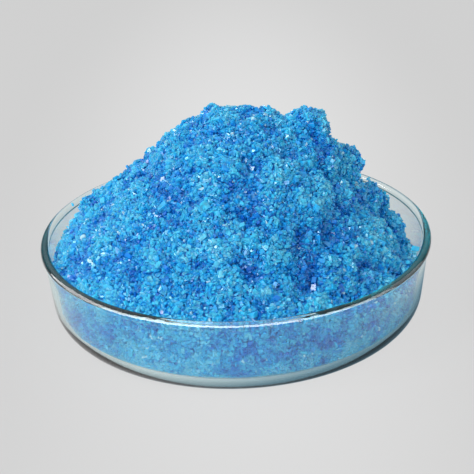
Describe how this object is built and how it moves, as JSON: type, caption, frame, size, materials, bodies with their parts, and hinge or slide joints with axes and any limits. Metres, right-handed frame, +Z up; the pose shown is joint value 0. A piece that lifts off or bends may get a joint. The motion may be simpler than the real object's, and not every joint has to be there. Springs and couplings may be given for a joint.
{
  "type": "crystallizing dish",
  "caption": "Shallow round glass dish with a curved heel and beaded rim, heaped well above the rim with caked blue crystals.",
  "frame": {"origin": "centre of the dish's underside, on the surface that it stands on", "axes": "+Z up, -Y towards the front, +X to the right seen from the front"},
  "size_m": [0.1, 0.1, 0.0542],
  "materials": {
    "clear_glass": "gloss",
    "blue_crystals": "gloss",
    "loose_crystals": "gloss"
  },
  "bodies": {
    "dish": {"glass_dish": "clear_glass", "rim_grains": "loose_crystals"},
    "charge": {"crystal_bed": "blue_crystals", "crystal_mound": "blue_crystals", "peak_lump_left": "blue_crystals", "peak_lump_middle": "blue_crystals", "peak_lump_right": "blue_crystals", "peak_lump_right_low": "blue_crystals", "crown_lump_left": "blue_crystals", "shoulder_lump_right": "blue_crystals", "shoulder_lump_left": "blue_crystals", "flank_lump_right": "blue_crystals", "foot_lump_right": "blue_crystals", "flank_lump_left": "blue_crystals"}
  },
  "joints": [
    {"name": "charge_lift", "type": "slide", "parent": "dish", "child": "charge", "axis": [0, 0, 1], "range_m": [0, 0.045]}
  ]
}
